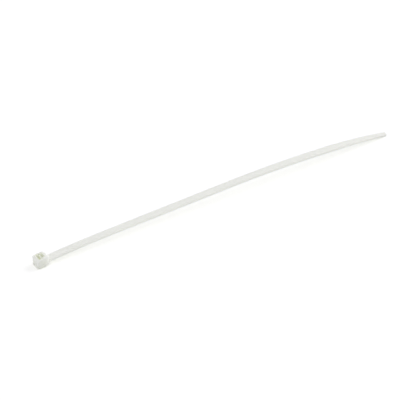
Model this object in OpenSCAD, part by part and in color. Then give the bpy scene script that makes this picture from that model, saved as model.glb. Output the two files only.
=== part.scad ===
// Self-locking cable tie, one moulding in natural nylon: a head with a slot and a locking
// pawl, a strap with ratchet teeth between two side rails, and a tapered tail.
// It lies as it comes to rest, smooth side up and bowed upwards, on the rear edge of its
// head and the tip of its tail. X runs from the head to the tail and Z is up.

/* [Strap] */
// Length of the strap, from the front of the head to the tip of the tail
strap_len = 144.5; // [110:0.5:200]
// Width of the strap
strap_w = 2.8; // [2.4:0.1:3.6]
// Thickness of the strap over its side rails
strap_t = 1.2; // [1:0.05:1.4]
// Radius of the strap's long edges
strap_edge_r = 0.16; // [0.1:0.01:0.3]
// Radius of the fillet where the strap grows out of the head
root_fillet = 0.6; // [0.2:0.05:0.8]

/* [Ratchet teeth] */
// Distance from one tooth to the next
tooth_pitch = 1; // [0.8:0.05:1.3]
// Height of a tooth above the web
tooth_h = 0.34; // [0.2:0.01:0.4]
// Length of the flat on top of a tooth
tooth_land = 0.12; // [0.05:0.01:0.2]
// Lean of a tooth's locking face, from square to the strap
tooth_face_lean = 8; // [0:1:20]
// Depth of the tooth tops below the side rails
tooth_sink = 0.12; // [0.05:0.01:0.2]
// Width of each side rail
rail_w = 0.45; // [0.3:0.01:0.5]
// Plain length between the head and the first tooth
neck_len = 6; // [3:0.5:12]

/* [Tail] */
// Length of the tapered tail
tail_len = 22; // [12:0.5:40]
// Width of the tail at its tip, before its corners are rounded
tip_w = 1.75; // [1.2:0.05:2.2]
// Thickness of the tail at its tip
tip_t = 0.95; // [0.8:0.05:1]
// Radius of the rounded end
tip_r = 0.3; // [0.1:0.01:0.35]
// Distance between the grip grooves under the tail
grip_pitch = 1.5; // [1:0.1:3]
// Depth of a grip groove
grip_depth = 0.14; // [0.05:0.01:0.2]
// Plain length at each end of the row of grip grooves
grip_margin = 2.5; // [1:0.5:5]

/* [Bow] */
// Length of the bend next to the head
neck_bend_len = 4; // [2:0.5:10]
// Turn of the strap in that bend
neck_bend = 1.2; // [0:0.1:6]
// Length of the bowed front stretch, after that bend
front_len = 22; // [10:1:40]
// Turn of the strap in the front stretch
front_bend = 3; // [0:0.1:8]
// Length of the bowed rear stretch, before the tail. Between the two, the strap is straight
rear_len = 46; // [20:1:60]
// Turn of the strap in the rear stretch
rear_bend = 5.5; // [0:0.1:10]
// Turn of the tail
tail_bend = 6; // [0:0.1:12]

/* [Head] */
// Height of the head along its slot
head_h = 4.2; // [3.8:0.1:5.5]
// Wall of the head behind the slot, which the strap is pressed against
rear_wall = 1.2; // [0.9:0.05:2]
// Wall of the head between the pawl's pocket and the strap
front_wall = 1.4; // [1:0.05:2.5]
// Walls of the head at both sides of the slot
side_wall = 0.72; // [0.7:0.01:1.5]
// Radius of the head's upright corners
head_corner_r = 1; // [0.7:0.05:1.1]
// Radius of the head's top and bottom edges
head_edge_r = 0.6; // [0.2:0.05:0.65]
// Draft of the head's sides, up and down from the parting line
head_draft = 1.5; // [0:0.5:3]
// Height of the strap's underside above the underside of the head
root_h = 0.75; // [0.6:0.05:1.6]

/* [Slot and pawl] */
// Clearance of the strap in the slot, across its thickness
slot_clear_t = 0.35; // [0.2:0.01:0.5]
// Clearance of the strap in the slot at each edge
slot_clear_w = 0.13; // [0.08:0.01:0.3]
// Flare of the slot's mouth at each side
mouth_flare_w = 0.3; // [0.1:0.05:0.4]
// Depth of the flared mouth
mouth_depth = 0.55; // [0.3:0.05:0.7]
// Height of the pawl's hinge above the underside of the head
hinge_h = 0.8; // [0.7:0.05:1.2]
// Thickness of the pawl at its hinge
hinge_t = 0.42; // [0.3:0.02:0.6]
// Thickness of the pawl at its free end, without its teeth
pawl_t = 0.7; // [0.5:0.05:0.9]
// Reach of the pawl's teeth into the slot
pawl_reach = 0.62; // [0.4:0.02:0.8]
// Depth of the pawl's free end below the top of the head
pawl_drop = 0.4; // [0.2:0.05:0.8]
// Height of the pawl's teeth
pawl_tooth_h = 0.3; // [0.15:0.01:0.35]
// Clearance of the pawl between the strap's side rails, at each side
pawl_rail_clear = 0.1; // [0.05:0.01:0.2]
// Gap around the pawl in its pocket
pawl_gap = 0.28; // [0.15:0.01:0.4]

/* [Hidden] */
nylon = [0.9, 0.91, 0.87];
// How far a cutting shape runs past the face that it opens
past = 1;
// How far the strap reaches into the head, so that the two are one solid
root_overlap = 0.5;
// Largest share of the strap's thickness that the rounding of one long edge may take
edge_share = 0.45;
// Steps in a rounded corner of the strap's section
corner_steps = 3;
// Steps in a fillet or a rounded end
round_steps = 5;
// Length of one straight step of the bow in the outer form of the strap
ring_len = 2.5;
// Length of one step of the sum that gives the bow's course
path_len = 0.24;
// Thickness of the slices that the slot's flared mouth spans
slice_t = 0.01;

// Across the head's length, from the rear: wall, slot, pawl pocket and front wall
slot_t = strap_t + slot_clear_t;
slot_w = strap_w + 2 * slot_clear_w;
pawl_w = strap_w - 2 * rail_w - 2 * pawl_rail_clear;
pocket_len = pawl_t + pawl_gap;
pocket_w = pawl_w + 2 * pawl_gap;
head_len = rear_wall + slot_t + pocket_len + front_wall;
head_w = slot_w + 2 * side_wall;
slot_rear_x = rear_wall - head_len;
slot_front_x = slot_rear_x + slot_t;

// The strap's middle plane, where it leaves the head, is the parting line too
root_z = root_h + strap_t / 2;
web_t = strap_t - tooth_sink - tooth_h;
tail_start = strap_len - tail_len;
middle_end = tail_start - rear_len;
teeth = floor((tail_start - neck_len) / tooth_pitch);
grips = floor((tail_len - 2 * grip_margin) / grip_pitch);

// Rounding: how far a surface stands back at the distance d from where a radius r ends
function set_back(d, r) = d >= r ? 0 : r - sqrt(r * r - (r - d) * (r - d));

// Downward pitch of the strap, relative to the head, at the distance s from the head
function pitch(s) = -lookup(s, [
    [0, 0],
    [neck_bend_len, neck_bend],
    [neck_bend_len + front_len, neck_bend + front_bend],
    [middle_end, neck_bend + front_bend],
    [tail_start, neck_bend + front_bend + rear_bend],
    [strap_len, neck_bend + front_bend + rear_bend + tail_bend]
]);

// The strap's middle line, summed in short steps that each follow the pitch
path_steps = ceil(strap_len / path_len);
path_d = strap_len / path_steps;
function path_move(i) = path_d * [cos(pitch((i + 0.5) * path_d)), sin(pitch((i + 0.5) * path_d))];
path = [for (i = 0, p = [0, root_z]; i <= path_steps; p = p + path_move(i), i = i + 1) p];
path_x = [for (i = [0:path_steps]) [i * path_d, path[i][0]]];
path_z = [for (i = [0:path_steps]) [i * path_d, path[i][1]]];

// A point at the distance s along the strap and n above its middle line, as [x, z]
function on_strap(s, n) =
    [min(s, 0) + lookup(s, path_x) - n * sin(pitch(s)), lookup(s, path_z) + n * cos(pitch(s))];

// Width and thickness of the strap at the distance s, with the root fillet and the round tip
function taper(s, from, to) = from + (to - from) * max(0, s - tail_start) / tail_len;
function grown(s) = 2 * set_back(max(s, 0), root_fillet) - 2 * set_back(strap_len - s, tip_r);
function width_at(s) = taper(s, strap_w, tip_w) + grown(s);
function thickness_at(s) = taper(s, strap_t, tip_t) + grown(s);

// A rectangle of the sides a and b with rounded corners, as points round its middle
function round_rect(a, b, r, steps) = [
    for (c = [0:3], i = [0:steps])
        let (t = 90 * (c + i / steps), sa = c == 0 || c == 3 ? 1 : -1, sb = c < 2 ? 1 : -1)
            [sa * (a / 2 - r) + r * cos(t), sb * (b / 2 - r) + r * sin(t)]
];

// A closed solid through a row of outlines that have as many points each
module loft(outlines) {
    n = len(outlines[0]);
    last = len(outlines) - 1;
    sides = [
        for (i = [0:last - 1], j = [0:n - 1])
            let (k = (j + 1) % n)
                [i * n + k, i * n + j, (i + 1) * n + j, (i + 1) * n + k]
    ];
    ends = [[for (j = [0:n - 1]) j], [for (j = [n - 1:-1:0]) last * n + j]];
    polyhedron([for (outline = outlines) each outline], concat(sides, ends), convexity = 10);
}

// The strap's section at the distance s, square to the bow
function strap_outline(s) =
    let (t = thickness_at(s), r = min(strap_edge_r, edge_share * t))
        [for (q = round_rect(width_at(s), t, r, corner_steps))
            let (p = on_strap(s, q[1])) [p[0], q[0], p[1]]];

// Distances from the head at which that section is placed
body_len = strap_len - root_fillet - tip_r;
body_steps = ceil(body_len / ring_len);
outline_s = concat(
    [-root_overlap],
    [for (i = [0:round_steps - 1]) root_fillet * (1 - cos(90 * i / round_steps))],
    [for (i = [0:body_steps]) root_fillet + body_len * i / body_steps],
    [for (i = [1:round_steps]) strap_len - tip_r + tip_r * sin(90 * i / round_steps)]
);

// The strap without its teeth: the section carried along the bow
module strap_blank() {
    loft([for (s = outline_s) strap_outline(s)]);
}

// Turns a side view in X and Z into a solid of the given width, across the middle of the tie
module across(w) {
    rotate([90, 0, 0])
        linear_extrude(w, center = true)
            children();
}

// What is open between the side rails: under each tooth's long slope, past its short land
// and down its locking face, which looks back at the head
module tooth_channel() {
    root_n = strap_t / 2 - web_t;
    land_n = root_n - tooth_h;
    face_run = tooth_h * tan(tooth_face_lean);
    outline = concat(
        [on_strap(neck_len - tooth_pitch, -strap_t / 2 - past)],
        [on_strap(neck_len - tooth_pitch, land_n)],
        [for (i = [0:teeth - 1]) let (s = neck_len + i * tooth_pitch) each [
            on_strap(s, root_n),
            on_strap(s + face_run, land_n),
            on_strap(s + face_run + tooth_land, land_n)
        ]],
        [for (i = [teeth:-1:0]) on_strap(neck_len + i * tooth_pitch, -strap_t / 2 - past)]
    );
    across(strap_w - 2 * rail_w) polygon(outline);
}

// Shallow grooves across the underside of the tail
module grip_grooves() {
    for (i = [0:grips]) {
        s = tail_start + grip_margin + i * grip_pitch;
        under = -thickness_at(s) / 2;
        across(strap_w + past)
            polygon([
                on_strap(s, under + grip_depth),
                on_strap(s + 2 * grip_depth, under - grip_depth),
                on_strap(s - 2 * grip_depth, under - grip_depth)
            ]);
    }
}

module strap() {
    difference() {
        strap_blank();
        tooth_channel();
        grip_grooves();
    }
}

// Plan of the head at the height z, set in by the draft and by the rounding of its edges
function head_outline(z) =
    let (
        edge = set_back(min(z, head_h - z), head_edge_r),
        inset = edge + abs(z - root_z) * tan(head_draft)
    )
        [for (q = round_rect(head_len - 2 * inset, head_w - 2 * inset, head_corner_r - edge, round_steps))
            [q[0] - head_len / 2, q[1], z]];

// Outer form of the head: drafted from the parting line, with rounded edges and corners
module head_block() {
    loft([
        for (i = [0:round_steps]) head_outline(head_edge_r * (1 - cos(90 * i / round_steps))),
        head_outline(root_z),
        for (i = [round_steps:-1:0]) head_outline(head_h - head_edge_r * (1 - cos(90 * i / round_steps)))
    ]);
}

// The slot that the strap passes through, with its flared mouth on the underside
module slot() {
    translate([slot_rear_x, -slot_w / 2, -past])
        cube([slot_t, slot_w, head_h + 2 * past]);
    flare = mouth_flare_w * (mouth_depth + past) / mouth_depth;
    hull() {
        translate([slot_rear_x, -slot_w / 2, mouth_depth])
            cube([slot_t, slot_w, slice_t]);
        translate([slot_rear_x - flare, -slot_w / 2 - flare, -past])
            cube([slot_t + flare, slot_w + 2 * flare, slice_t]);
    }
}

// Room for the pawl to swing out of the slot, open at the top
module pawl_pocket() {
    translate([slot_front_x - slot_t / 2, -pocket_w / 2, hinge_h])
        cube([slot_t / 2 + pocket_len, pocket_w, head_h]);
}

// The pawl: a finger that stands on its hinge, leans into the slot and carries teeth there
module pawl() {
    rise = head_h - pawl_drop - hinge_h;
    lean = (pawl_reach - pawl_tooth_h) / rise;
    pawl_teeth = max(1, floor((rise - hinge_t) / tooth_pitch));
    face_run = pawl_tooth_h * tan(tooth_face_lean);
    // A point at the height u above the hinge and m out from the finger's face, into the slot
    function on_pawl(u, m) = [slot_front_x - lean * u - m, hinge_h + u];
    outline = concat(
        [on_pawl(-hinge_t, 0)],
        [for (i = [pawl_teeth:-1:1]) let (u = rise - i * tooth_pitch) each [
            on_pawl(u, 0),
            on_pawl(u + tooth_pitch - face_run, pawl_tooth_h)
        ]],
        [on_pawl(rise, 0)],
        [on_pawl(rise, -pawl_t)],
        [on_pawl(0, -hinge_t)],
        [on_pawl(-hinge_t, -hinge_t)]
    );
    across(pawl_w) polygon(outline);
}

module head() {
    difference() {
        head_block();
        slot();
        pawl_pocket();
    }
    pawl();
}

// How the tie comes to rest: the line under its rear edge and its tip becomes the floor.
// Both are rounded, so the line touches two circles, at the head and at the tip.
edge_inset = root_z * tan(head_draft);
top_inset = (head_h - root_z) * tan(head_draft);
rear_centre = [edge_inset + head_edge_r - head_len, head_edge_r];
top_centre = [top_inset + head_edge_r - head_len, head_h - head_edge_r];
tip_centre = on_strap(strap_len - tip_r, tip_r - tip_t / 2);
nose_centre = on_strap(strap_len - tip_r, tip_t / 2 - tip_r);
reach = tip_centre - rear_centre;
floor_pitch = atan2(reach[1], reach[0]) - asin((tip_r - head_edge_r) / norm(reach));

// A side-view point after the tie has been turned onto the floor line
function turned(p) =
    [p[0] * cos(floor_pitch) + p[1] * sin(floor_pitch), p[1] * cos(floor_pitch) - p[0] * sin(floor_pitch)];

floor_z = turned(rear_centre)[1] - head_edge_r;
middle_x = (turned(top_centre)[0] - head_edge_r + turned(nose_centre)[0] + tip_r) / 2;

module cable_tie() {
    color(nylon)
        translate([-middle_x, 0, -floor_z])
            rotate([0, floor_pitch, 0]) {
                head();
                strap();
            }
}

cable_tie();
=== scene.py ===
"""A self-locking cable tie of natural nylon, lying smooth side up on a white table.

The tie is one moulding. Its surfaces are worked out here in millimetres, in the frame in
which it was moulded: the head stands square, its front face is at x = 0 and its underside at
z = 0, and the strap leaves it along +X. placed() then lays the tie down as it rests.
"""

import math

import bmesh
import bpy
import numpy as np
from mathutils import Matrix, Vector


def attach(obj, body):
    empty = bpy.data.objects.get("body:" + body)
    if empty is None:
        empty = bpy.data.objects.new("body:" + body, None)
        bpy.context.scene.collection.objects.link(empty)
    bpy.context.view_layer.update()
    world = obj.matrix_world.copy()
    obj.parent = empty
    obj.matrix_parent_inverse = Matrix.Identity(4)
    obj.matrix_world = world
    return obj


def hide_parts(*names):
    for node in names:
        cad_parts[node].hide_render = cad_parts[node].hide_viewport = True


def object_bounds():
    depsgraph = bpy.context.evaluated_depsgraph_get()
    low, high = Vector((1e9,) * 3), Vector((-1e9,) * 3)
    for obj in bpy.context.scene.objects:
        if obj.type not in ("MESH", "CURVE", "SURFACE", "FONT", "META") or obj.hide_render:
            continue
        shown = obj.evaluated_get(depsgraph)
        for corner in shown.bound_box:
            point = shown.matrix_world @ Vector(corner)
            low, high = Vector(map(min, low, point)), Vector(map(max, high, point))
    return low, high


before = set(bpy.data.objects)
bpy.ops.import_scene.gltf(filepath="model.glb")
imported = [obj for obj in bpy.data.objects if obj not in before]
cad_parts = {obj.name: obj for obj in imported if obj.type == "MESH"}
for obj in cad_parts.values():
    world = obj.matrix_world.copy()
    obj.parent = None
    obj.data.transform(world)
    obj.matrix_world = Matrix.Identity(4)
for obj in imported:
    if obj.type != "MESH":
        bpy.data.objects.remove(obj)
CAD_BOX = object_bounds()
MM = 0.001

# Strap, from the front of the head to the tip of the tail
STRAP_LEN = 144.5
STRAP_W = 2.8
STRAP_T = 1.2
STRAP_EDGE_R = 0.16
ROOT_FILLET = 0.6
ROOT_OVERLAP = 0.5
TIP_EDGE_SHARE = 0.9

# Ratchet teeth, in the channel between the side rails
TOOTH_PITCH = 1.0
TOOTH_H = 0.34
TOOTH_LAND = 0.12
TOOTH_FACE_LEAN = math.radians(8)
TOOTH_SINK = 0.12
RAIL_W = 0.45
NECK_LEN = 6.0
CHANNEL_DRAFT = 0.03
CHANNEL_EDGE_R = 0.05
CHANNEL_END_RUN = 0.02
CHANNEL_EDGE_SHARE = 0.4
CHANNEL_SHARE = 0.8
TOOTH_ROUNDING = 0.03
SAW_STEP = 0.004

# Tapered tail, with grip grooves on its underside
TAIL_LEN = 22.0
TIP_W = 1.75
TIP_T = 0.95
TIP_R = 0.3
GRIP_PITCH = 1.5
GRIP_DEPTH = 0.14
GRIP_MARGIN = 2.5
GRIP_ROOT_EASE = 0.03
GRIP_EDGE_EASE = 0.02

# Bow: the length of each stretch and how far the strap turns down in it, in degrees
NECK_BEND_LEN = 4.0
NECK_BEND = 1.2
FRONT_LEN = 22.0
FRONT_BEND = 3.0
REAR_LEN = 46.0
REAR_BEND = 5.5
TAIL_BEND = 6.0
COURSE_STEP = 0.025

# Head, with its slot and pawl
HEAD_H = 4.2
REAR_WALL = 1.2
FRONT_WALL = 1.4
SIDE_WALL = 0.72
HEAD_CORNER_R = 1.0
HEAD_EDGE_R = 0.6
HEAD_DRAFT = math.radians(1.5)
ROOT_H = 0.75
SLOT_CLEAR_T = 0.35
SLOT_CLEAR_W = 0.13
SLOT_CORNER_R = 0.1
SLOT_EDGE_R = 0.03
MOUTH_FLARE = 0.3
MOUTH_DEPTH = 0.55
MOUTH_CORNER_R = 0.12
MOUTH_LAND = 0.02
HINGE_H = 0.8
HINGE_T = 0.42
PAWL_T = 0.7
PAWL_REACH = 0.62
PAWL_DROP = 0.4
PAWL_TOOTH_H = 0.3
PAWL_RAIL_CLEAR = 0.1
PAWL_GAP = 0.28
PAWL_EDGE_R = 0.04
PAWL_NICK = 0.05
PAWL_CREST = 0.04
LIP_R = 0.08
LIP_CORNER_R = 0.16
LEDGE_R = 0.03
LEDGE_STEP = 0.1
LEDGE_LAP = 0.04
LEDGE_FALL = 0.02
PARTING_RIDGE = 0.012
PARTING_BAND = 0.03

# How fine the surfaces are: steps along a plain stretch, points on a quarter circle, rows of
# the slot's mouth, directions round the head, heights at which two profiles are compared, and
# the distance that keeps two points apart
PLAIN_STEP = 0.5
EDGE_POINTS = 9
CORNER_POINTS = 7
SMALL_POINTS = 4
ROOT_POINTS = 13
PLAN_CORNER_POINTS = 6
MOUTH_ROWS = 2 + EDGE_POINTS // 2
DIRECTIONS = 160
PROFILE_HEIGHTS = 221
HAIR = 0.001

# What follows from those sizes
TAIL_START = STRAP_LEN - TAIL_LEN
MIDDLE_END = TAIL_START - REAR_LEN
TEETH = math.floor((TAIL_START - NECK_LEN) / TOOTH_PITCH)
GRIPS = math.floor((TAIL_LEN - 2 * GRIP_MARGIN) / GRIP_PITCH) + 1
SLOT_T = STRAP_T + SLOT_CLEAR_T
SLOT_W = STRAP_W + 2 * SLOT_CLEAR_W
PAWL_W = STRAP_W - 2 * RAIL_W - 2 * PAWL_RAIL_CLEAR
POCKET_LEN = PAWL_T + PAWL_GAP
POCKET_W = PAWL_W + 2 * PAWL_GAP
HEAD_LEN = REAR_WALL + SLOT_T + POCKET_LEN + FRONT_WALL
HEAD_W = SLOT_W + 2 * SIDE_WALL
SLOT_REAR_X = REAR_WALL - HEAD_LEN
SLOT_FRONT_X = SLOT_REAR_X + SLOT_T
ROOT_Z = ROOT_H + STRAP_T / 2
REAR_EDGE_X = ROOT_Z * math.tan(HEAD_DRAFT) + HEAD_EDGE_R - HEAD_LEN
CHANNEL_HALF_W = STRAP_W / 2 - RAIL_W


def set_back(distance, radius):
    """How far a rounded edge stands back at a distance from where its radius begins:
    the radius less the height of its circle there, and nothing past the radius."""
    short = np.clip(radius - distance, 0, radius)
    return radius - np.sqrt(radius**2 - short**2)


# The bow's course, summed in short steps
BOW_S = np.array([0, NECK_BEND_LEN, NECK_BEND_LEN + FRONT_LEN, MIDDLE_END, TAIL_START, STRAP_LEN])
BOW_TURN = np.radians(np.cumsum([0, NECK_BEND, FRONT_BEND, 0, REAR_BEND, TAIL_BEND]))
COURSE_S = np.linspace(0, STRAP_LEN, round(STRAP_LEN / COURSE_STEP) + 1)
COURSE_MID = -np.interp((COURSE_S[1:] + COURSE_S[:-1]) / 2, BOW_S, BOW_TURN)
COURSE_X = np.append(0, np.cumsum(np.cos(COURSE_MID) * COURSE_S[1]))
COURSE_Z = ROOT_Z + np.append(0, np.cumsum(np.sin(COURSE_MID) * COURSE_S[1]))


def on_strap(s, n):
    """The side-view point at the distance s along the strap and n above its middle line: the
    course's point, plus n times the course's normal. Before the head's face it runs straight."""
    pitch = -np.interp(s, BOW_S, BOW_TURN)
    x = np.minimum(s, 0) + np.interp(s, COURSE_S, COURSE_X) - n * np.sin(pitch)
    z = np.interp(s, COURSE_S, COURSE_Z) + n * np.cos(pitch)
    return x, z


def rest_turn():
    """Slope of the line that touches two circles from below, the rounded rear edge of the head,
    whose centre is at REAR_EDGE_X, and the rounded tip: the slope between their centres, less
    the arc sine of the difference of their radii over their distance. The tie lies on it."""
    x, z = on_strap(STRAP_LEN - TIP_R, TIP_R - TIP_T / 2)
    dx = x - REAR_EDGE_X
    dz = z - HEAD_EDGE_R
    return math.atan2(dz, dx) - math.asin((TIP_R - HEAD_EDGE_R) / math.hypot(dx, dz))


def placed(x, y, z):
    """Points of the moulded frame laid down as the tie rests: turned by the slope of the line
    that it lies on, then moved so that its box matches the frame's, in metres."""
    turn = rest_turn()
    flat_x = x * math.cos(turn) + z * math.sin(turn)
    flat_z = z * math.cos(turn) - x * math.sin(turn)
    floor_z = HEAD_EDGE_R * math.cos(turn) - REAR_EDGE_X * math.sin(turn) - HEAD_EDGE_R
    nose_x, nose_z = on_strap(STRAP_LEN - TIP_R, TIP_T / 2 - TIP_R)
    front = nose_x * math.cos(turn) + nose_z * math.sin(turn) + TIP_R
    shift = CAD_BOX[1].x / MM - front
    return np.stack([flat_x + shift, y, flat_z - floor_z], -1) * MM


def grid_faces(rows, columns, around):
    """Quads of a grid whose rows are closed rings. Where it closes on itself the other way
    too, around is True and the last row joins the first."""
    i, j = np.meshgrid(np.arange(rows if around else rows - 1), np.arange(columns), indexing="ij")
    below = (i + 1) % rows
    beside = (j + 1) % columns
    quads = [i * columns + j, i * columns + beside, below * columns + beside, below * columns + j]
    return np.stack([q.ravel() for q in quads], -1)


def closed_piece(name, points, around):
    """A closed mesh object from a grid of points, rows by columns by 3. Rows are rings, in the
    order in which their quads face out. Its two ends are capped unless the rows close too."""
    rows, columns = points.shape[:2]
    faces = grid_faces(rows, columns, around).tolist()
    if not around:
        faces.append(list(range(columns))[::-1])
        faces.append(list(range((rows - 1) * columns, rows * columns)))
    mesh = bpy.data.meshes.new(name)
    mesh.from_pydata(points.reshape(-1, 3).tolist(), [], faces)
    mesh.validate()
    piece = bpy.data.objects.new(name, mesh)
    bpy.context.scene.collection.objects.link(piece)
    return piece


# The strap


def tooth_course(s):
    """Height of the channel's floor above the strap's middle line, at the distance s: a saw
    whose teeth rise at their locking face, run along a short land and fall to the next root.
    Its corners are rounded by a running mean, the difference of two sums of the saw."""
    web = STRAP_T - TOOTH_SINK - TOOTH_H
    root = STRAP_T / 2 - web
    land = root - TOOTH_H
    run = TOOTH_H * math.tan(TOOTH_FACE_LEAN)
    start = NECK_LEN + TOOTH_PITCH * np.arange(TEETH)
    knots_s = np.stack([start, start + run, start + run + TOOTH_LAND], -1).ravel()
    knots_n = np.tile([root, land, land], TEETH)
    under = -STRAP_T / 2
    end = knots_s[-1] + TOOTH_SINK
    first = NECK_LEN - TOOTH_PITCH
    knots_s = np.concatenate([[first - CHANNEL_END_RUN, first], knots_s, [end]])
    knots_n = np.concatenate([[under, land], knots_n, [under]])
    fine = np.arange(-TOOTH_PITCH, STRAP_LEN, SAW_STEP)
    total = np.cumsum(np.interp(fine, knots_s, knots_n)) * SAW_STEP
    half = TOOTH_ROUNDING
    return (np.interp(s + half, fine, total) - np.interp(s - half, fine, total)) / (2 * half)


def grip_course(s):
    """Depth of the grip grooves under the tail, at the distance s: a V whose sides fall at 45
    degrees at each groove, with its edges eased by a hyperbola in place of the corner."""
    centre = TAIL_START + GRIP_MARGIN + GRIP_PITCH * np.arange(GRIPS)
    away = np.abs(s[:, None] - centre).min(1)
    depth = GRIP_DEPTH - np.sqrt(away**2 + GRIP_ROOT_EASE**2) + GRIP_ROOT_EASE
    return 0.5 * (depth + np.sqrt(depth**2 + GRIP_EDGE_EASE**2))


def strap_stations():
    """Distances along the strap at which its section is placed: close together where it is
    filleted, toothed, grooved or rounded, and wider apart where it is plain. Those of the
    root's fillet start a quarter of its radius inside the head."""
    root_arc = np.linspace(0, math.pi / 2, ROOT_POINTS)
    tip_arc = np.linspace(0, math.pi / 2, EDGE_POINTS)
    run = TOOTH_H * math.tan(TOOTH_FACE_LEAN)
    offsets = np.array([-0.04, -0.01, 0.015, run - 0.015, run + 0.01, run + 0.05,
                        run + TOOTH_LAND - 0.02, run + TOOTH_LAND + 0.03, 0.4, 0.7])
    teeth = (NECK_LEN + TOOTH_PITCH * np.arange(-1, TEETH)[:, None] + offsets).ravel()
    groove = np.array([-0.25, -0.18, -0.14, -0.1, -0.04, 0, 0.04, 0.1, 0.14, 0.18, 0.25])
    grips = (TAIL_START + GRIP_MARGIN + GRIP_PITCH * np.arange(GRIPS)[:, None] + groove).ravel()
    stations = np.concatenate([
        [-ROOT_OVERLAP],
        ROOT_FILLET * (1.25 * (1 - np.cos(root_arc)) - 0.25),
        np.arange(1, NECK_LEN - TOOTH_PITCH - 0.2, PLAIN_STEP),
        teeth,
        np.arange(TAIL_START, TAIL_START + GRIP_MARGIN - 0.3, PLAIN_STEP),
        grips,
        np.linspace(grips[-1] + 0.3, STRAP_LEN - TIP_R - 0.2, 4),
        STRAP_LEN - TIP_R * (1 - np.sin(tip_arc)),
    ])
    stations = np.sort(stations)
    return stations[np.append(True, np.diff(stations) > 4 * HAIR)]


def root_growth(s, edge_radius, beyond):
    """How far a face of the strap stands out at the distance s, in the fillet that joins it to
    the head's front. The fillet's circle touches that face and the head's rounded edge, whose
    centre lies beyond the face: the two centres are as far apart as both radii together, and
    the fillet ends where the circles touch. s counts from the front, which leans by its draft."""
    reach = edge_radius + ROOT_FILLET
    centre = math.sqrt(reach**2 - max(ROOT_FILLET - beyond, 0)**2) - edge_radius
    touch = (centre + edge_radius) * edge_radius / reach - edge_radius
    front = s + ROOT_FILLET * math.tan(HEAD_DRAFT)
    return set_back(ROOT_FILLET - np.clip(centre - front, 0, centre - touch), ROOT_FILLET)


def strap_section(width, top, under, radius, floor):
    """The strap's section at each station, as arrays of y and n with a row for each station.
    It is a rectangle with a quarter circle at each corner. In the middle of the underside the
    outline steps up at the rails' inner walls, which lean by the draft, to the channel's floor,
    and small arcs round the step's edges."""
    arc = np.linspace(0, math.pi / 2, CORNER_POINTS)
    across = width / 2 - radius
    up = top - radius
    right_top = (across + radius * np.cos(arc), up + radius * np.sin(arc))
    left_top = (-across - radius * np.sin(arc), up + radius * np.cos(arc))
    left_low = (-across - radius * np.cos(arc), under + radius * (1 - np.sin(arc)))
    right_low = (across + radius * np.sin(arc), under + radius * (1 - np.cos(arc)))
    rise = floor - under
    edge = np.minimum(CHANNEL_EDGE_R, CHANNEL_EDGE_SHARE * np.abs(rise))
    ease = np.linspace(0, math.pi / 2, SMALL_POINTS)
    lip_y = -CHANNEL_HALF_W - HAIR - CHANNEL_EDGE_R * (1 - np.sin(ease)) + 0 * rise
    lip_n = under + edge * (1 - np.cos(ease))
    foot_y = -CHANNEL_HALF_W + CHANNEL_DRAFT + CHANNEL_EDGE_R * (1 - np.cos(ease)) + 0 * rise
    foot_n = floor - edge * (1 - np.sin(ease))
    middle_y = -np.array([0.4, 0.2, 0.0]) + 0 * rise
    middle_n = floor + 0 * middle_y
    half_y = np.concatenate([lip_y, foot_y, middle_y], 1)
    half_n = np.concatenate([lip_n, foot_n, middle_n], 1)
    channel_y = np.concatenate([half_y, -half_y[:, -2::-1]], 1)
    channel_n = np.concatenate([half_n, half_n[:, -2::-1]], 1)
    y = np.concatenate([right_top[0], left_top[0], left_low[0], channel_y, right_low[0]], 1)
    n = np.concatenate([right_top[1], left_top[1], left_low[1], channel_n, right_low[1]], 1)
    return y, n


def strap_piece():
    """The strap: its section carried along the bow. The width and the thickness shrink evenly
    over the tail, grow at the root by the fillets and fall back at the tip by its rounding. A
    grip groove lifts the whole underside. The channel's points draw together where the section
    is too narrow for them. Outside the toothed stretch they lie flat on the underside."""
    s = strap_stations()
    share = np.maximum(0, s - TAIL_START) / TAIL_LEN
    back = set_back(STRAP_LEN - s, TIP_R)
    half_w = (STRAP_W + (TIP_W - STRAP_W) * share) / 2 - back
    half_t = (STRAP_T + (TIP_T - STRAP_T) * share) / 2 - back
    above = HEAD_H - HEAD_EDGE_R - ROOT_H - STRAP_T
    half_w = half_w + root_growth(s, HEAD_CORNER_R, (HEAD_W - STRAP_W) / 2 - HEAD_CORNER_R)
    top = (half_t + root_growth(s, HEAD_EDGE_R, above))[:, None]
    under = (grip_course(s) - half_t - root_growth(s, HEAD_EDGE_R, ROOT_H - HEAD_EDGE_R))[:, None]
    width = 2 * half_w[:, None]
    radius = np.minimum(STRAP_EDGE_R, TIP_EDGE_SHARE * half_t[:, None])
    toothed = (s > NECK_LEN - TOOTH_PITCH - 0.1) & (s < TAIL_START - 0.5)
    floor = np.where(toothed[:, None], tooth_course(s)[:, None], under)
    floor = np.maximum(floor, under + HAIR)
    flat = width / 2 - radius
    room = CHANNEL_SHARE * flat / (CHANNEL_HALF_W + CHANNEL_EDGE_R + HAIR)
    y, n = strap_section(width, top, under, radius, floor)
    channel = slice(3 * CORNER_POINTS, y.shape[1] - CORNER_POINTS)
    y[:, channel] = y[:, channel] * np.minimum(1, room)
    x, z = on_strap(s[:, None], n)
    return closed_piece("strap", placed(x, y, z), around=False)


# The head


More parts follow.
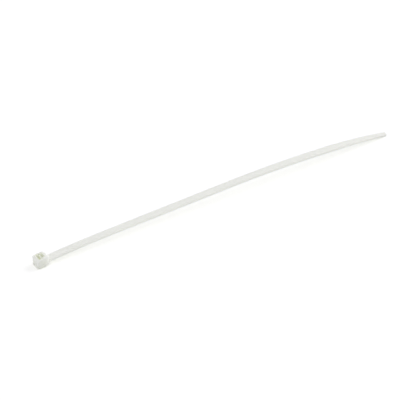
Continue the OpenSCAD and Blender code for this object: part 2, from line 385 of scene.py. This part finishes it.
def rounded_corners(corners, radius):
    """A closed polygon whose corners, turned either way, are arcs: each arc starts and ends at
    the distance from the corner at which its circle touches both sides."""
    corners = np.asarray(corners, float)
    before = np.roll(corners, 1, 0) - corners
    after = np.roll(corners, -1, 0) - corners
    before /= np.linalg.norm(before, axis=1, keepdims=True)
    after /= np.linalg.norm(after, axis=1, keepdims=True)
    half = np.arccos(np.clip((before * after).sum(1), -1, 1)) / 2
    middle = before + after
    middle /= np.linalg.norm(middle, axis=1, keepdims=True)
    centre = corners + middle * (radius / np.sin(half))[:, None]
    swing = math.pi / 2 - half
    side = after - middle * (after * middle).sum(1)[:, None]
    side /= np.linalg.norm(side, axis=1, keepdims=True)
    angle = np.linspace(-1, 1, PLAN_CORNER_POINTS)[None, :, None] * swing[:, None, None]
    ring = -np.cos(angle) * middle[:, None] + np.sin(angle) * side[:, None]
    return (centre[:, None] + radius * ring).reshape(-1, 2)


def rectangle(x0, x1, half_y, radius):
    """A rectangle with rounded corners, from x0 to x1 and as far to both sides."""
    return rounded_corners([(x1, -half_y), (x1, half_y), (x0, half_y), (x0, -half_y)], radius)


def slot_and_pocket(grow):
    """Plan of the slot with the pawl's pocket in front of it, grown all round."""
    slot = SLOT_W / 2 + grow
    pocket = POCKET_W / 2 + grow
    neck = SLOT_FRONT_X + grow
    front = SLOT_FRONT_X + POCKET_LEN + grow
    rear = SLOT_REAR_X - grow
    corners = [(front, -pocket), (front, pocket), (neck, pocket), (neck, slot),
               (rear, slot), (rear, -slot), (neck, -slot), (neck, -pocket)]
    return rounded_corners(corners, SLOT_CORNER_R)


def head_plan(inset, z):
    """Plan of the head's outer form at a height, set in all round and by its draft, which
    leans in to both sides of the parting line at the middle of the strap."""
    inset = inset + abs(z - ROOT_Z) * math.tan(HEAD_DRAFT)
    return rectangle(inset - HEAD_LEN, -inset, HEAD_W / 2 - inset, HEAD_CORNER_R - inset)


# The point from which the outlines of the head are measured, in the slot
HUB = np.array([SLOT_FRONT_X - 0.35 * SLOT_T, 0.0])


def bearings(outline):
    """Directions of an outline's points as seen from the middle of the slot."""
    return np.arctan2(outline[:, 1] - HUB[1], outline[:, 0] - HUB[0])


def distances(outline, directions):
    """Distance from the middle of the slot to an outline, in each direction: the outline's own
    distances, with straight sides between its points."""
    bearing = bearings(outline)
    order = np.argsort(bearing)
    bearing = bearing[order]
    corner = (outline - HUB)[order]
    corner = np.concatenate([corner[-1:], corner, corner[:1]])
    bearing = np.concatenate([[bearing[-1] - math.tau], bearing, [bearing[0] + math.tau]])
    k = np.clip(np.searchsorted(bearing, directions, side="right") - 1, 0, len(bearing) - 2)
    a = corner[k]
    side = corner[k + 1] - a
    ray = np.stack([np.cos(directions), np.sin(directions)], -1)
    cross = ray[:, 0] * side[:, 1] - ray[:, 1] * side[:, 0]
    return (a[:, 0] * side[:, 1] - a[:, 1] * side[:, 0]) / cross


def head_rows():
    """Outlines and heights of the head's surface, in the order in which it runs: up the outer
    side with its rounded edges and the parting line, in over the top, down the slot and the
    pocket to the ledge that the pawl stands on, down the slot to its flared mouth and out over
    the underside. The small roundings take every second point of the quarter circle."""
    quarter = np.linspace(0, math.pi / 2, EDGE_POINTS)
    rows = []
    for a in quarter:
        z = HEAD_EDGE_R * (1 - math.cos(a))
        rows.append((head_plan(HEAD_EDGE_R * (1 - math.sin(a)), z), z))
    for rise, back in ((-PARTING_BAND, PARTING_RIDGE), (0, 0), (PARTING_BAND, PARTING_RIDGE)):
        rows.append((head_plan(back, ROOT_Z + rise), ROOT_Z + rise))
    for a in quarter[::-1]:
        z = HEAD_H - HEAD_EDGE_R * (1 - math.cos(a))
        rows.append((head_plan(HEAD_EDGE_R * (1 - math.sin(a)), z), z))
    for a in quarter[::2]:
        rows.append((slot_and_pocket(SLOT_EDGE_R * (1 - math.sin(a))),
                     HEAD_H - SLOT_EDGE_R * (1 - math.cos(a))))
    for z in (0.75 * HEAD_H, 0.5 * HEAD_H, HINGE_H + LEDGE_STEP):
        rows.append((slot_and_pocket(0), z))
    rows.append((slot_and_pocket(-LEDGE_R), HINGE_H + LEDGE_R))
    rows.append((slot_and_pocket(-LEDGE_STEP), HINGE_H))
    ledge = rectangle(SLOT_REAR_X, SLOT_FRONT_X + LEDGE_LAP, SLOT_W / 2, SLOT_CORNER_R)
    rows.append((ledge, HINGE_H - LEDGE_FALL))
    slot = rectangle(SLOT_REAR_X, SLOT_FRONT_X, SLOT_W / 2, SLOT_CORNER_R)
    rows.append((slot, HINGE_H - 3 * LEDGE_FALL))
    rows.append((slot, MOUTH_DEPTH))
    flare = MOUTH_FLARE * (1 - LIP_R / MOUTH_DEPTH)
    mouth = rectangle(SLOT_REAR_X - flare, SLOT_FRONT_X, SLOT_W / 2 + flare, MOUTH_CORNER_R)
    rows.append((mouth, LIP_R))
    for a in quarter[2::2]:
        lip = LIP_R * (1 - math.cos(a))
        grow = MOUTH_FLARE + lip
        rows.append((rectangle(SLOT_REAR_X - grow, SLOT_FRONT_X + lip, SLOT_W / 2 + grow, LIP_CORNER_R),
                     LIP_R * (1 - math.sin(a))))
    return rows


def at_heights(reach, z, heights):
    """Distances of a profile at the given heights, which may differ by direction: they run
    straight between the row below and the row above. z holds the heights of its rows."""
    order = np.argsort(z)
    z, reach = z[order], reach[order]
    k = np.clip(np.searchsorted(z, heights, side="right") - 1, 0, len(z) - 2)
    below = np.take_along_axis(reach, k, 0)
    above = np.take_along_axis(reach, k + 1, 0)
    return below + (above - below) / (z[k + 1] - z[k]) * (heights - z[k])


def meet_at_mouth(reach, z):
    """Trims the head's rounded lower edge and its flared mouth to each other. At the sides the
    flare is wider than the flat of the underside. There both profiles start at the height from
    which the edge stands outside the flare, by the width of a narrow land: the heights of their
    rows are scaled evenly between it and their upper end, and keep the profiles' distances."""
    outer = slice(0, EDGE_POINTS)
    mouth = slice(-MOUTH_ROWS, None)
    heights = np.linspace(0, MOUTH_DEPTH, PROFILE_HEIGHTS)[:, None] + 0 * reach[0]
    edge = at_heights(reach[outer], z[outer], heights)
    flare = at_heights(reach[mouth], z[mouth], heights)
    low = heights[np.argmax(edge - flare > MOUTH_LAND, 0), 0]
    raised = z[:, None] + 0 * reach
    for rows in (outer, mouth):
        raised[rows] = low + raised[rows] * (1 - low / z[rows].max())
        reach[rows] = at_heights(reach[rows], z[rows], raised[rows])
    return reach, raised


def head_piece():
    """The head: for each outline, the point at each direction from the middle of the slot lies
    at that outline's distance. The rows close on themselves, so the surface is a ring."""
    rows = head_rows()
    directions = np.unique(np.round(np.concatenate(
        [bearings(outline) for outline, z in rows]
        + [np.linspace(-math.pi, math.pi, DIRECTIONS)[1:]]), 2))
    reach = np.stack([distances(outline, directions) for outline, z in rows])
    reach, z = meet_at_mouth(reach, np.array([z for outline, z in rows]))
    x = HUB[0] + reach * np.cos(directions)
    y = HUB[1] + reach * np.sin(directions)
    return closed_piece("head", placed(x, y, z), around=True)


def pawl_piece():
    """The pawl: its side view, a finger that leans into the slot with teeth on that side,
    drawn across the middle of the slot. Near both ends the outline's points move towards its
    middle by a small arc, so that its edges are round."""
    rise = HEAD_H - PAWL_DROP - HINGE_H
    lean = (PAWL_REACH - PAWL_TOOTH_H) / rise
    teeth = max(1, math.floor((rise - HINGE_T) / TOOTH_PITCH))
    run = PAWL_TOOTH_H * math.tan(TOOTH_FACE_LEAN)
    outline = [(-HINGE_T, -PAWL_NICK), (PAWL_NICK, -PAWL_CREST / 2)]
    for i in range(teeth, 0, -1):
        foot = rise - i * TOOTH_PITCH
        crest = foot + TOOTH_PITCH - run
        outline.append((foot + PAWL_CREST / 2, 0))
        outline.append((crest - PAWL_CREST, PAWL_TOOTH_H))
        outline.append((crest, PAWL_TOOTH_H - PAWL_CREST / 2))
    outline += [(rise - 0.6 * PAWL_NICK, 0), (rise, -PAWL_NICK), (rise, PAWL_NICK - PAWL_T),
                (rise - PAWL_NICK, -PAWL_T), (2 * PAWL_NICK, -HINGE_T), (-HINGE_T, -HINGE_T)]
    u, m = np.array(outline).T
    x = SLOT_FRONT_X - lean * u - m
    z = HINGE_H + u
    middle_x, middle_z = x.mean(), z.mean()
    quarter = np.linspace(0, math.pi / 2, SMALL_POINTS)
    inset = PAWL_EDGE_R * (1 - np.sin(quarter))
    ends = PAWL_EDGE_R * (1 - np.cos(quarter))
    inset = np.concatenate([inset, inset[::-1]])[:, None]
    y = np.concatenate([ends - PAWL_W / 2, PAWL_W / 2 - ends[::-1]])[:, None] + 0 * x
    away_x = x - middle_x
    away_z = z - middle_z
    away = np.hypot(away_x, away_z)
    x = x - inset * away_x / away
    z = z - inset * away_z / away
    return closed_piece("pawl", placed(x, y, z), around=False)


# Edges that turn by more than this are shaded as edges
SHARP_ANGLE = math.radians(38)


def joined(name, pieces):
    """One closed moulding from pieces that overlap, as a union in triangles, of which those with
    no height are dissolved. Its box is then fitted to the frame's box: each coordinate goes
    from the one's lower and upper bound to the other's."""
    whole = pieces[0]
    for other in pieces[1:]:
        union = whole.modifiers.new("union", "BOOLEAN")
        union.operation = "UNION"
        union.solver = "EXACT"
        union.object = other
    evaluated = whole.evaluated_get(bpy.context.evaluated_depsgraph_get())
    mesh = bpy.data.meshes.new_from_object(evaluated)
    mesh.name = name
    for piece in pieces:
        bpy.data.objects.remove(piece)
    shape = bmesh.new()
    shape.from_mesh(mesh)
    bmesh.ops.triangulate(shape, faces=shape.faces)
    bmesh.ops.dissolve_degenerate(shape, dist=HAIR * MM, edges=shape.edges)
    shape.to_mesh(mesh)
    shape.free()
    points = np.empty(3 * len(mesh.vertices))
    mesh.vertices.foreach_get("co", points)
    points = points.reshape(-1, 3)
    low, high = points.min(0), points.max(0)
    frame_low, frame_high = np.array(CAD_BOX)
    points = frame_low + (points - low) / (high - low) * (frame_high - frame_low)
    mesh.vertices.foreach_set("co", points.ravel())
    mesh.shade_smooth()
    mesh.set_sharp_from_angle(angle=SHARP_ANGLE)
    tie = bpy.data.objects.new(name, mesh)
    bpy.context.scene.collection.objects.link(tie)
    return tie


# Materials


class Wire:
    """An output of a node, with Python's arithmetic: each operator adds the Math node for it."""

    def __init__(self, graph, socket):
        self.graph = graph
        self.socket = socket

    def math(self, operation, *values):
        return self.graph.node("ShaderNodeMath", {"operation": operation}, dict(enumerate(values)))

    def __add__(self, other):
        return self.math("ADD", self, other)

    def __sub__(self, other):
        return self.math("SUBTRACT", self, other)

    def __rsub__(self, other):
        return self.math("SUBTRACT", other, self)

    def __mul__(self, other):
        return self.math("MULTIPLY", self, other)

    __radd__ = __add__
    __rmul__ = __mul__


class Graph:
    """The nodes of one material or world."""

    def __init__(self, owner):
        owner.use_nodes = True
        self.tree = owner.node_tree
        self.tree.nodes.clear()

    def node(self, kind, settings=None, sockets=None, output=0):
        """Adds a node of a kind, makes its settings first, then fills its sockets with values
        or wires, and returns one of its outputs as a wire."""
        node = self.tree.nodes.new(kind)
        for key, value in (settings or {}).items():
            setattr(node, key, value)
        for key, value in (sockets or {}).items():
            if isinstance(value, Wire):
                self.tree.links.new(value.socket, node.inputs[key])
            else:
                node.inputs[key].default_value = value
        return Wire(self, node.outputs[output]) if node.outputs else None


# Natural nylon: its two tones and the path of light in it, then its pattern's scales and the
# gloss and relief that follow it
NYLON_LIGHT = (0.98, 0.99, 0.90, 1)
NYLON_DEEP = (0.967, 0.982, 0.88, 1)
NYLON_PATH = 0.002
NYLON_IOR = 1.53
CLOUD_SCALE = 260.0
FLOW_SCALE = (60.0, 1900.0, 1900.0)
GRAIN_SCALE = 9000.0
CLOUD_SHARE = 0.6
ROUGHNESS = 0.3
CLOUD_ROUGHNESS = 0.12
GRAIN_ROUGHNESS = 0.06
RELIEF_HEIGHT = 0.02 * MM
RELIEF_STRENGTH = 0.25

# Places of the colours among the sockets of a Mix node
MIX_COLOR_A = 6
MIX_COLOR_B = 7
MIX_COLOR_OUT = 2


def nylon_material():
    """Natural nylon: milky, lit from within, with faint clouds, flow lines along the strap and
    the fine grain of the mould in its gloss."""
    material = bpy.data.materials.new("natural_nylon")
    graph = Graph(material)
    place = graph.node("ShaderNodeTexCoord", output="Object")
    along = graph.node("ShaderNodeMapping", {}, {"Vector": place, "Scale": FLOW_SCALE})

    def noise(vector, scale, detail):
        sockets = {"Vector": vector, "Scale": scale, "Detail": detail}
        return graph.node("ShaderNodeTexNoise", {}, sockets)

    clouds = noise(place, CLOUD_SCALE, 3.0)
    flow = noise(along, 1.0, 2.0)
    grain = noise(place, GRAIN_SCALE, 2.0)
    tone = clouds * CLOUD_SHARE + flow * (1 - CLOUD_SHARE)
    color = graph.node(
        "ShaderNodeMix",
        {"data_type": "RGBA"},
        {"Factor": tone, MIX_COLOR_A: NYLON_DEEP, MIX_COLOR_B: NYLON_LIGHT},
        output=MIX_COLOR_OUT,
    )
    bump = graph.node("ShaderNodeBump", {}, {
        "Height": flow * 0.5 + grain * 0.5,
        "Distance": RELIEF_HEIGHT,
        "Strength": RELIEF_STRENGTH,
    })
    shader = graph.node("ShaderNodeBsdfPrincipled", {"subsurface_method": "RANDOM_WALK"}, {
        "Base Color": color,
        "Roughness": ROUGHNESS + clouds * CLOUD_ROUGHNESS + grain * GRAIN_ROUGHNESS,
        "Normal": bump,
        "IOR": NYLON_IOR,
        "Subsurface Weight": 1.0,
        "Subsurface Radius": (1.0, 1.0, 1.0),
        "Subsurface Scale": NYLON_PATH,
    })
    graph.node("ShaderNodeOutputMaterial", {}, {"Surface": shader})
    return material


# Stage

# The table: its size, its colour, and the light that it adds for the camera alone
FLOOR_SIZE = 4.0
FLOOR_COLOR = (0.88, 0.88, 0.88, 1)
FLOOR_LIFT = 0.32
LIFT_COLOR = (1.0, 0.99, 1.04, 1)


def seen_rays(graph):
    """1 for the rays that show a surface, from the camera or by way of a gloss or a clear body,
    and 0 for those that carry light."""
    seen = graph.node("ShaderNodeLightPath", output="Is Camera Ray")
    mirrored = graph.node("ShaderNodeLightPath", output="Is Glossy Ray")
    through = graph.node("ShaderNodeLightPath", output="Is Transmission Ray")
    return seen + mirrored + through


def add_table():
    """A flat white table, much larger than the view, just under the tie. Its lift is seen by
    the camera and in reflections only: it makes the lit table white and keeps the shadow."""
    half = FLOOR_SIZE / 2
    corners = [(-half, -half, 0), (half, -half, 0), (half, half, 0), (-half, half, 0)]
    mesh = bpy.data.meshes.new("table")
    mesh.from_pydata(corners, [], [(0, 1, 2, 3)])
    table = bpy.data.objects.new("table", mesh)
    bpy.context.scene.collection.objects.link(table)
    material = bpy.data.materials.new("table_white")
    graph = Graph(material)
    lit = graph.node("ShaderNodeBsdfDiffuse", {}, {"Color": FLOOR_COLOR})
    lift = graph.node("ShaderNodeEmission", {}, {
        "Color": LIFT_COLOR,
        "Strength": seen_rays(graph) * FLOOR_LIFT,
    })
    both = graph.node("ShaderNodeAddShader", {}, {0: lit, 1: lift})
    graph.node("ShaderNodeOutputMaterial", {}, {"Surface": both})
    mesh.materials.append(material)


# The room's light, above, at the horizon and how much it leans along X, then the lamp's, then
# how often light may bounce: it scatters often in a milky body on a white table
SKY_COLOR = (0.995, 1.0, 0.98, 1)
SKY_TOP = 0.67
SKY_LOW = 0.61
SKY_TOP_HEIGHT = 0.8
SKY_LEAN = 0.18
LAMP = 1.2
LAMP_ANGLE = math.radians(60)
LAMP_TOWARD = (0.9, -0.08, 0.5)
BOUNCES = 32


def light_scene():
    """A large soft room, brighter above than at the horizon and on the head's side than on the
    tail's, with one low, wide lamp ahead of the tail whose shadow falls behind the head. To the
    camera and in reflections the room is plain white."""
    world = bpy.data.worlds.new("studio")
    bpy.context.scene.world = world
    graph = Graph(world)
    place = graph.node("ShaderNodeTexCoord", output="Generated")
    ahead = graph.node("ShaderNodeSeparateXYZ", {}, {"Vector": place}, output="X")
    height = graph.node("ShaderNodeSeparateXYZ", {}, {"Vector": place}, output="Z")
    level = graph.node("ShaderNodeMapRange", {}, {
        "Value": height,
        "From Min": 0.0,
        "From Max": SKY_TOP_HEIGHT,
        "To Min": SKY_LOW,
        "To Max": SKY_TOP,
    }) - ahead * SKY_LEAN
    sky = graph.node("ShaderNodeBackground", {}, {"Color": SKY_COLOR, "Strength": level})
    white = graph.node("ShaderNodeBackground", {}, {"Color": (1, 1, 1, 1), "Strength": 1.0})
    room = graph.node("ShaderNodeMixShader", {}, {0: seen_rays(graph), 1: sky, 2: white})
    graph.node("ShaderNodeOutputWorld", {}, {"Surface": room})
    lamp = bpy.data.lights.new("soft_lamp", "SUN")
    lamp.energy = LAMP
    lamp.angle = LAMP_ANGLE
    sun = bpy.data.objects.new("soft_lamp", lamp)
    toward = Vector(LAMP_TOWARD)
    sun.rotation_mode = "QUATERNION"
    sun.rotation_quaternion = toward.to_track_quat("Z", "Y")
    bpy.context.scene.collection.objects.link(sun)
    bpy.context.scene.cycles.max_bounces = BOUNCES
    bpy.context.scene.cycles.diffuse_bounces = BOUNCES


# Camera: it looks down on the tie, whose tail points away to the upper right
CAMERA_AZIMUTH = math.radians(-31.8)
CAMERA_ELEVATION = math.radians(37.5)
CAMERA_LENS = 1000
CAMERA_SENSOR = 36
CAMERA_REACH = 100
VIEW_WIDTH = 0.14465
VIEW_RIGHT = -0.00417
VIEW_UP = 0.00027


def add_camera():
    """A long lens, as far away as makes the view VIEW_WIDTH wide at the tie, aimed at the point
    VIEW_RIGHT and VIEW_UP from the frame's origin in the picture's plane."""
    a = CAMERA_AZIMUTH
    e = CAMERA_ELEVATION
    right = Vector((math.cos(a), math.sin(a), 0))
    back = Vector((math.sin(a) * math.cos(e), -math.cos(a) * math.cos(e), math.sin(e)))
    up = back.cross(right)
    lens = bpy.data.cameras.new("camera")
    lens.lens = CAMERA_LENS
    lens.sensor_width = CAMERA_SENSOR
    lens.clip_end = CAMERA_REACH
    camera = bpy.data.objects.new("camera", lens)
    distance = VIEW_WIDTH * CAMERA_LENS / CAMERA_SENSOR
    camera.location = right * VIEW_RIGHT + up * VIEW_UP + back * distance
    camera.rotation_mode = "QUATERNION"
    camera.rotation_quaternion = back.to_track_quat("Z", "Y")
    bpy.context.scene.collection.objects.link(camera)
    bpy.context.scene.camera = camera


tie = joined("nylon_tie", [head_piece(), pawl_piece(), strap_piece()])
tie.data.materials.append(nylon_material())
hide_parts("cable_tie")
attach(tie, "root")
add_table()
light_scene()
add_camera()
bpy.context.scene.view_settings.view_transform = "Standard"
